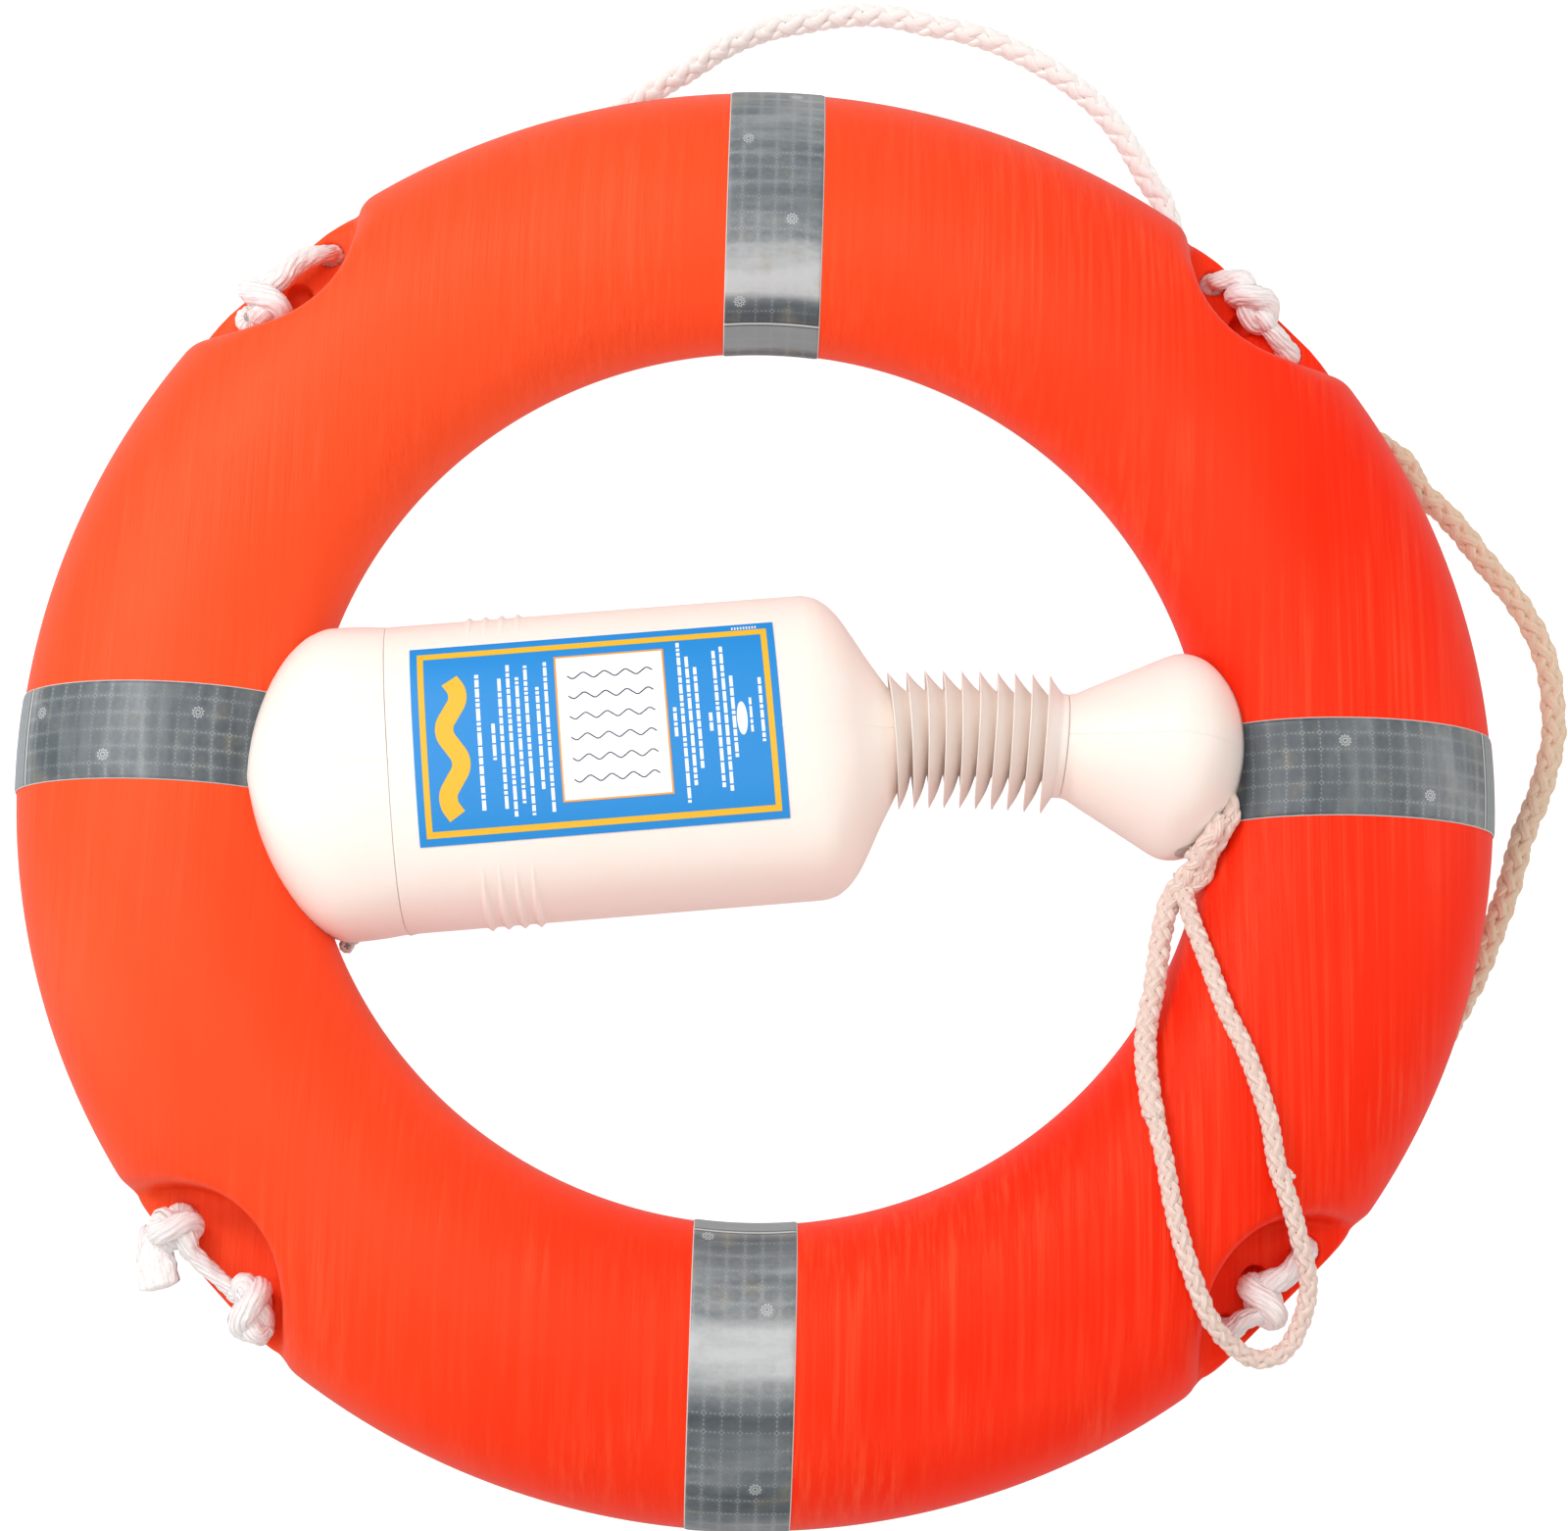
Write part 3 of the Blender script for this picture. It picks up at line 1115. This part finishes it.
# ------------------------------------------------------------------ bellows
# ten fins along a Bezier curve from the canister's throat to the bell's
along_bell = np.array([*turn(1.0, 0.0, BELL_TURN), 0.0])
NECK_A = on_canister([252.1, 0.0, AXIS_Z])
NECK_B = np.array([BELL_X - 0.5, BELL_Y, AXIS_Z])
_reach = np.linalg.norm(NECK_B - NECK_A) / 3
NECK = [NECK_A, NECK_A + along_canister * _reach, NECK_B - along_bell * _reach, NECK_B]
# one fin: fraction of the pitch, radius at the +Y side, radius at the more cupped -Y side
FIN = [(0.0, 24.6, 18.0), (0.015, 25.4, 18.8), (0.03, 29.5, 24.5), (0.045, 33.4, 31.5),
       (0.06, 34.9, 34.5), (0.085, 35.3, 35.3), (0.115, 35.2, 35.2), (0.14, 34.5, 34.6),
       (0.2, 33.3, 33.5), (0.3, 31.8, 31.9), (0.4, 30.5, 30.2), (0.5, 29.2, 28.2),
       (0.6, 28.0, 25.6), (0.7, 26.9, 22.4), (0.8, 25.9, 19.6), (0.87, 25.3, 18.5),
       (0.92, 24.9, 18.2), (0.96, 24.7, 18.0), (0.985, 24.6, 18.0)]
ROOT = (24.6, 18.0)            # radii between two fins, at +Y and -Y
SPLAY = 42.0 / 1422.0          # lean of a crest per mm of x from SPLAY_X
SPLAY_X = -8.0


def neck(u):
    """points and tangents of the neck's curve"""
    u = np.asarray(u, float)[:, None]
    a, b, c, d = NECK
    points = (1 - u) ** 3 * a + 3 * (1 - u) ** 2 * u * b + 3 * (1 - u) * u ** 2 * c + u ** 3 * d
    slope = 3 * (1 - u) ** 2 * (b - a) + 6 * (1 - u) * u * (c - b) + 3 * u ** 2 * (d - c)
    return points, unit(slope)


def bellows(cad, first, last, body_a, body_b, start, end):
    angle = circle(144)
    cupped = np.clip((0.30 - np.cos(angle)) / 1.30, 0, 1) ** 1.2
    rows = [((i + du) / 10, ra, rb) for i in range(first, last) for du, ra, rb in FIN]
    rows.append((last / 10, *ROOT))
    u = np.array([row[0] for row in rows])
    r = np.array([ra + (rb - ra) * cupped for _, ra, rb in rows])
    if first == 0:      # runs on from the canister's throat
        u = np.r_[-0.014, -0.004, u]
        r = np.vstack([np.full((2, len(angle)), 26.4), r])
        r[2], r[3] = 26.1, 26.3
    if last == 10:      # and into the bell's
        r = np.where((u > 0.94)[:, None], np.maximum(r, 26.7), r)
        r[-1] = 26.3
        u[-1] = 1.004
    outer_rows = len(r)
    r = np.vstack([r, np.maximum(r[::-1] - 1.3, 16.6)])
    u = np.r_[u, u[::-1]]
    points, tangent = neck(u)
    side = np.stack([-tangent[:, 1], tangent[:, 0], 0 * tangent[:, 0]], 1)
    # each crest leans a little and waves a little
    fin = np.floor(np.clip(u * 10 - 1e-6, 0, 9.999)).astype(int)
    up = np.clip((r - 24) / 11.0, 0, 1)
    phase = np.random.default_rng(5).uniform(0, 6.28, 10)[fin][:, None]
    splay = SPLAY * (points[:, 0] - SPLAY_X)[:, None]
    lean = -up * (0.9 + 0.9 * cupped + splay * np.sin(angle) - 1.3 * np.sin(angle) ** 2
                  + 0.22 * np.sin(2 * angle + phase))
    spokes = (np.cos(angle)[None, :, None] * side[:, None]
              + np.sin(angle)[None, :, None] * UP)
    rings = points[:, None] + tangent[:, None] * lean[..., None] + r[..., None] * spokes
    ob = part(cad, closed_grid(rings, flip=True), WHITE, None)
    n, m = rings.shape[:2]
    for row in (outer_rows - 1, n - 1):    # the two end faces are square
        for k in range(m):
            ob.data.polygons[row * m + k].use_smooth = False
    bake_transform(ob)


neck_points, _ = neck([0.0, 0.5, 1.0])
bellows("bellows_canister_half", 0, 5, "canister", "neck", *neck_points[:2])
bellows("bellows_bell_half", 5, 10, "neck", "bell_end", *neck_points[1:])

# ------------------------------------------------------------------ the bell
# distance along, radius
BELL = [(-0.45, 26.6), (3, 27.4), (6, 29.0), (10, 31.2), (20, 36.4), (30, 41.6), (40, 46.8),
        (48, 50.9), (52, 52.4), (56, 53.0), (60, 52.7), (65, 51.4), (71, 48), (77, 42.5),
        (83, 34.5), (87.5, 24.5), (90, 15), (91, 6)]


def bell_skin(s, r, **options):
    """depth is 0.95 of the width"""
    return skin(s, r, AXIS_Z + r * 0.95, AXIS_Z - r * 0.95, 2.0, on_bell, **options)


s = stops([-0.45, -0.25], np.linspace(0, 10, 14), np.linspace(10, 44, 20),
          np.linspace(44, 62, 26), np.linspace(62, 84, 22),
          84 + 7 * (1 - (1 - np.linspace(0, 1, 16)) ** 1.8))
bell = stand_in("bell", solid(bell_skin(s, at_stations(BELL, s)[0])), [WHITE, INSIDE],
                "bell_end")
# every face starts on the white slot
bell.data.polygons.foreach_set("material_index", np.zeros(len(bell.data.polygons), np.int32))
carve(bell, ring_tool(4.6, 225.0))
# the cavity keeps the wall's thickness, over the ring's recess as well
s = stops([-3.0, 0.0, 4.0, 7.0], np.linspace(10, 86, 34))
r = at_stations(BELL, np.maximum(s, 0) + 0.8)[0]
r[:4] = 22.4
cavity = cutter("cavity_tool", solid(bell_skin(s, r, off=-WALL, line=0)), dark=True)
carve(cavity, ring_tool(4.6 + WALL, 225.0 - WALL), dark=True)
subtract(bell, cavity)
# a slanting bore out through the wall
carve(bell, tube(spline([(198, -6, 8), (213, -27, 13), (226, -54, 17)], 14)[0], 8.6, 40),
      dark=True)
for face in bell.data.polygons:
    face.use_smooth = bool(np.dot(np.array(face.normal), along_bell) > -0.97)
add_rest(bell)

# ------------------------------------------------------------------ the label
# u runs along the canister and v down from the label's +Y edge, both 0 to 1
LABEL_S, LABEL_Y = (13.0, 194.0), (55.5, -46.0)
PRINT_H = 0.50    # height of the print over the canister's skin


def from_label(u, v):
    return (LABEL_S[0] + (LABEL_S[1] - LABEL_S[0]) * u,
            LABEL_Y[0] + (LABEL_Y[1] - LABEL_Y[0]) * v)


def skin_z(y):
    return AXIS_Z + CAN_D * (1 - np.abs(y / CAN_W) ** 2.5).clip(0, 1) ** 0.4


def over_skin(s, y, height):
    """points over the canister's front"""
    e = 0.05
    slope = (skin_z(y + e) - skin_z(y - e)) / (2 * e)
    size = np.sqrt(1 + slope * slope)
    return on_canister(np.stack([s, y - slope / size * height, skin_z(y) + height / size], -1))


def patch(rect, height=PRINT_H, thick=0.10, cell=3.0):
    """a thin closed sheet over the rectangle (u0, u1, v0, v1)"""
    u0, u1, v0, v1 = rect
    (s0, y0), (s1, y1) = from_label(u0, v0), from_label(u1, v1)
    n = max(2, int(abs(s1 - s0) / cell) + 1)
    m = max(2, int(abs(y1 - y0) / cell) + 1)
    s, y = np.meshgrid(np.linspace(s0, s1, n), np.linspace(y0, y1, m), indexing="ij")
    top, bottom = over_skin(s, y, height), over_skin(s, y, height - thick)
    faces = [grid_faces(n, m, flip=True), grid_faces(n, m) + n * m]
    index = np.arange(n * m).reshape(n, m)
    for line in (index[:, 0], index[-1, :], index[::-1, -1], index[0, ::-1]):
        a, b = line[:-1], line[1:]
        faces.append(np.stack([a, b, b + n * m, a + n * m], -1))
    return np.concatenate([top.reshape(-1, 3), bottom.reshape(-1, 3)]), faces


def stroke(points, width, height=PRINT_H, thick=0.10):
    """a thin line through points given as (u, v)"""
    q = np.array([(*from_label(u, v), 0.0) for u, v in points])
    length = sum(np.linalg.norm(np.diff(q, axis=0), axis=1))
    curve, _ = spline(q, max(2, int(length / 1.2)))
    tangent = unit(np.gradient(curve, axis=0))
    side = np.stack([-tangent[:, 1], tangent[:, 0]], 1) * width / 2
    s, y = np.moveaxis(np.stack([curve[:, :2] + side, curve[:, :2] - side], 1), -1, 0)
    top, bottom = over_skin(s, y, height), over_skin(s, y, height - thick)
    rings = np.stack([top[:, 0], top[:, 1], bottom[:, 1], bottom[:, 0]], 1)
    n, ends = len(curve), np.arange(4)
    return rings.reshape(-1, 3), [grid_faces(n, 4, wrap_m=True), ends[None, ::-1],
                                  (n - 1) * 4 + ends[None]]


def disc(u, v, radius_s, radius_y, thick=0.1, n=28):
    a = circle(n)
    s, y = from_label(u, v)
    rings = [over_skin(s + radius_s * np.cos(a), y + radius_y * np.sin(a), h)
             for h in (PRINT_H, PRINT_H - thick)]
    centre = over_skin(np.array([s]), np.array([y]), PRINT_H)
    j = np.arange(n)
    j1 = (j + 1) % n
    return np.vstack([*rings, centre]), [np.stack([j, n + j, n + j1, j1], -1),
                                         np.stack([np.full(n, 2 * n), j, j1], -1)]


def border(rect, width_u, width_v, **options):
    """four strips round the outside of a rectangle"""
    u0, u1, v0, v1 = rect
    return [patch(strip, **options) for strip in (
        (u0 - width_u, u1 + width_u, v0 - width_v, v0),
        (u0 - width_u, u1 + width_u, v1, v1 + width_v),
        (u0 - width_u, u0, v0, v1),
        (u1, u1 + width_u, v0, v1))]


def printed(name, parts, mat, cad=None):
    add_rest(make(name, merge(parts), [mat], "canister", cad, smooth=False))


printed("label_film", [patch((0, 1, 0, 1), height=0.42, thick=0.36, cell=2.5)], BLUE,
        "canister_label")

# yellow frame, and a wave band
in_u, in_v, frame_u, frame_v = 0.020, 0.036, 0.0165, 0.030    # margins, then widths
u0, v0 = in_u + frame_u, in_v + frame_v
wave = [(0.106 + 0.021 * math.sin(k * 1.05), 0.19 + 0.68 * k / 12) for k in range(13)]
printed("label_print_yellow", border((u0, 1 - u0, v0, 1 - v0), frame_u, frame_v)
        + [stroke(wave, 9.0)], YELLOW)

# text columns: plain bars of uneven length
# centre u, from v, to v, width in u
TEXT = [(0.180, 0.17, 0.86, 0.011)]
TEXT += [(u, start, end, 0.0095) for u, start, end in (
    (0.218, 0.43, 0.62), (0.241, 0.20, 0.86), (0.265, 0.13, 0.90), (0.289, 0.20, 0.84),
    (0.313, 0.14, 0.90), (0.343, 0.26, 0.78), (0.367, 0.13, 0.90), (0.712, 0.42, 0.58),
    (0.733, 0.08, 0.90), (0.754, 0.16, 0.82), (0.775, 0.22, 0.74), (0.808, 0.46, 0.56),
    (0.829, 0.14, 0.84), (0.850, 0.12, 0.86), (0.871, 0.28, 0.70))]
TEXT += [(0.918, 0.40, 0.58, 0.007), (0.948, 0.30, 0.64, 0.009)]
text_rng = np.random.default_rng(11)
bars = []
for u, v, end, width in TEXT:
    while v < end - 0.01:
        length = min(text_rng.uniform(0.02, 0.075), end - v)
        bars.append(patch((u - width / 2, u + width / 2, v, v + length - 0.008), cell=4.0))
        v += length
bars.append(disc(0.893, 0.50, 2.6, 8.5))
for k in range(9):
    u = 0.885 + 0.008 * k
    bars.append(patch((u, u + 0.004, 0.016, 0.030)))
printed("label_print_white", bars, WHITE_INK)

# panel: an orange-edged sheet with six wave lines
U0, U1, V0, V1 = PANEL_RECT = (0.398, 0.688, 0.115, 0.835)
printed("label_panel", [patch(PANEL_RECT, height=0.52)], PANEL)
printed("label_panel_edge", border(PANEL_RECT, 0.0052, 0.009, height=0.54, thick=0.14), ORANGE)
waves = []
for k in range(6):
    waves.append(stroke([
        (U0 + (U1 - U0) * (0.10 + 0.80 * j / 16),
         V0 + (V1 - V0) * (0.14 + 0.145 * k + 0.022 * math.sin(j * math.pi / 2)))
        for j in range(17)], 0.6, height=0.60))
printed("label_drawing", waves, DARK_INK)

# ------------------------------------------------------------------ the hand loop
LINE = dict(step=0.95, wide=0.98, thick=0.34, amp=0.15, seg=12, jitter=0.10)
LINE_3 = dict(LINE, per=3, wide=0.95)    # three strands each way
LOOP_LEFT = [
    (215.3, -56, 13), (208.9, -61.4, 13.5), (203.2, -81.4, 16), (198.8, -107.4, 23),
    (193.8, -129.1, 28.5), (191.9, -147.5, 36), (193.2, -169.2, 44.5), (198.3, -196.8, 51.4),
    (202.9, -223.8, 53.4), (210.5, -249.6, 51), (220.9, -271.7, 43), (233.3, -283.6, 33.5),
    (245.5, -289.1, 28), (259, -284.7, 28)]
LOOP_RIGHT = [
    (267, -270, 30), (269.6, -252.8, 34.5), (264.4, -234, 42.4), (258.1, -214.9, 49),
    (252.1, -199.1, 52.2), (248, -176, 53.6), (238.4, -145.2, 51.4), (229.7, -124.1, 46),
    (222.4, -98.3, 37), (216.4, -72, 21), (215.3, -58, 13.5)]
part("hand_loop", merge([
    braid([*LOOP_LEFT[6:], *LOOP_RIGHT, (214.6, -52, 13.5)], 4.9, 40, **LINE),
    braid([(215.2, -50, 13.5), *LOOP_LEFT[:7], (194.6, -178.0, 47.5)], 5.9, 43, **LINE),
    braid([(251, -196, 53), (254.8, -202, 52), (259.2, -205.5, 51)], 3.4, 20, **LINE),
]), LINE_ROPE, "loop")

# spliced eye: the line doubled back on itself along the bell's edge
part("loop_splice", merge([
    braid([(190, 2, 9), (199.5, -9.5, 10), (209, -21, 12), (217, -31, 15.5),
           (221.5, -39, 17.5), (220.5, -47, 16), (216.0, -56.5, 13.5)], 5.0, 42, **LINE),
    braid([(234.2, -9.5, 25), (236.2, -16.0, 27.5), (236.0, -24.0, 28.5), (232.6, -31.0, 27),
           (228.4, -38.0, 23.5), (225.4, -46.2, 18.8), (220.4, -52.0, 15.6),
           (215.8, -57.4, 13.4)], 5.3, 44, **LINE_3),
    braid([(231.5, -24.5, 31), (227.6, -32.0, 30.5), (222.8, -38.8, 27), (220.4, -46.4, 21),
           (216.0, -51.0, 17), (212.6, -57.0, 14)], 5.3, 44, **LINE_3),
    braid([(217.5, -41.0, 19), (222.0, -43.0, 24.5), (225.8, -47.0, 21), (224.0, -53.0, 16),
           (218.5, -57.5, 13.5)], 4.4, 40, **LINE_3),
]), LINE_ROPE, "bell_end")

# ------------------------------------------------------------------ the throwing line
part("line_tail", braid(
    [(-205.2, -94.6, -12.5), (-206.0, -93.0, -18), (-205.6, -89.4, -25), (-201, -84.2, -31.5),
     (-194.4, -80.3, -34.5), (-184.6, -78.2, -36), (-178, -76.8, -37.5), (-170, -75, -38)],
    radius=4.0, lay=24, step=1.0, wide=1.05, thick=0.32, amp=0.12),
    TAIL_ROPE, "canister")
tail_knot = bundle([(-182, -77.6, -37.2), (-174.5, -76.1, -38), (-167, -74.6, -38)],
                   [(0, 4.2), (0.3, 6.5), (0.7, 6.5), (1, 4.0)], seed=9, lobes=7)
add_rest(make("line_tail_knot_v", tail_knot, [TAIL_ROPE], "canister"))

# the coils packed in the canister, outermost first
# half width, half depth, from, to, phase
COILS = [(63.0, 38.4, 17, 200, 0.0), (54.5, 30.6, 14, 46, 2.0), (54.5, 30.6, 172, 204, 1.0),
         (46.0, 23.0, 14, 38, 4.0), (37.5, 19.0, 14, 30, 0.5), (46.0, 23.0, 180, 204, 4.0)]
COIL_PITCH = 8.0


def coil(half_w, half_d, start, end, phase):
    turns = (end - start) / COIL_PITCH
    count = int(turns * 22)
    a = np.linspace(0, 2 * np.pi * turns, count) + phase
    power = 2 / 2.3
    sag = 0.7 * np.sin(a * 0.37 + phase) + 0.5 * np.sin(a * 1.9)
    y = np.sign(np.cos(a)) * np.abs(np.cos(a)) ** power * (half_w + sag)
    z = AXIS_Z + np.sign(np.sin(a)) * np.abs(np.sin(a)) ** power * (half_d + sag * 0.6)
    return on_canister(np.stack([np.linspace(start, end, count), y, z], -1))


part("throwing_line_coil", merge([
    bundle(coil(*row), 3.9, seed, lobes=3, twist=0.28, relief=0.10, sides=10, step=3.6)
    for seed, row in enumerate(COILS, start=31)]), LINE_ROPE, "canister")

# its two ends, met in the neck
LEAD = dict(radius=4.0, lay=26, step=1.3, wide=1.0, thick=0.32, amp=0.12)
neck_points, _ = neck([0.2, 0.38, 0.58, 0.78])
lead = on_canister([(204.0, 10.0, AXIS_Z), (222.0, 2.0, AXIS_Z)])
part("line_lead_canister",
     braid(np.vstack([lead, NECK_A - along_canister * 12, neck_points[:2]]), **LEAD),
     LINE_ROPE, "canister")
part("line_lead_bell",
     braid([*neck_points[2:], (166, 15, AXIS_Z), (176, 10, 7), (184, 6, 7.5)], **LEAD),
     LINE_ROPE, "bell_end")
part("loop_stopper", bundle(knot((190, 2, 8), (0.6, -0.8), (0.62, 0.62, 0.62)), 5.2, seed=41,
                            lobes=7), LINE_ROPE, "bell_end")


# ------------------------------------------------------------------ floor and world
def floor():
    """a sheet that glows white to the camera and is dimmer in reflections"""
    m = material("floor")
    glossy = m.add("ShaderNodeLightPath", out="Is Glossy Ray")
    camera_ray = glossy.output("Is Camera Ray")
    m.set({"Base Color": (0.36, 0.36, 0.36, 1), "Roughness": 0.9, "Specular IOR Level": 0.0,
           "Emission Color": (1, 1, 1, 1),
           "Emission Strength": 0.74 - glossy * 0.6 + camera_ray * 0.26})
    half, z = 6.0, CAD_BOX[0][2] - 0.0005    # metres
    data = bpy.data.meshes.new("floor")
    corners = [(-half, -half, z), (half, -half, z), (half, half, z), (-half, half, z)]
    data.from_pydata(corners, [], [(0, 1, 2, 3)])
    ob = bpy.data.objects.new("floor", data)
    bpy.context.scene.collection.objects.link(ob)
    data.materials.append(m.owner)


def world():
    """white: 0.70 as light, 0.08 in reflections, 1.15 to the camera"""
    w = Shader(bpy.data.worlds.new("w"), "Background")
    bpy.context.scene.world = w.owner
    glossy = w.add("ShaderNodeLightPath", out="Is Glossy Ray")
    camera_ray = glossy.output("Is Camera Ray")
    strength = w.math("MAXIMUM", glossy * -0.62 + 0.70, camera_ray * 1.15)
    w.set({"Color": (1, 1, 1, 1), "Strength": strength})


floor()
world()


# ------------------------------------------------------------------ lights and camera
def area(name, location, size, power, colour=(1, 1, 1), size_y=None):
    """an area light aimed at the world's origin; metres and watts"""
    light = bpy.data.lights.new(name, "AREA")
    light.energy, light.size, light.color = power, size, colour
    if size_y:
        light.shape = "RECTANGLE"
        light.size_y = size_y
    ob = bpy.data.objects.new(name, light)
    bpy.context.scene.collection.objects.link(ob)
    ob.location = location
    aim = Vector((0, 0, 0)) - Vector(location)
    ob.rotation_euler = aim.to_track_quat("-Z", "Y").to_euler()


area("key", (-1.1, 0.9, 1.7), size=0.8, power=20, colour=(0.97, 0.985, 1.0))
area("left_strip", (-1.5, -0.3, 0.9), size=0.3, power=7, size_y=1.6)
area("right_strip", (1.5, 0.3, 1.1), size=0.3, power=5, colour=(1.0, 0.95, 0.9), size_y=1.4)
area("front", (-0.25, 0.15, 2.4), size=1.3, power=9)
area("low_fill", (0.5, -1.5, 1.6), size=1.0, power=6, colour=(1.0, 0.93, 0.87))

# the view: the ring's frame turned about x, y and z, then moved before the lens
VIEW_TURN = (-14.25, 0.82, -1.73)          # degrees
VIEW_MOVE = (-0.0130, -0.0026, -1.466)     # metres
turn_x, turn_y, turn_z = (Matrix.Rotation(angle * DEG, 4, axis)
                          for angle, axis in zip(VIEW_TURN, "XYZ"))
view = Matrix.Translation(VIEW_MOVE) @ (turn_z @ turn_y @ turn_x)
lens = bpy.data.cameras.new("cam")
lens.sensor_width = 36.0
lens.lens = 65.9925
lens.clip_start, lens.clip_end = 0.05, 50
camera = bpy.data.objects.new("cam", lens)
bpy.context.scene.collection.objects.link(camera)
camera.matrix_world = Matrix.Translation(Vector(ORIGIN)) @ view.inverted()
bpy.context.scene.camera = camera
settings = bpy.context.scene.view_settings
settings.view_transform = "Standard"
settings.look = "None"
settings.exposure = -0.13
settings.gamma = 1.0

bpy.context.view_layer.update()
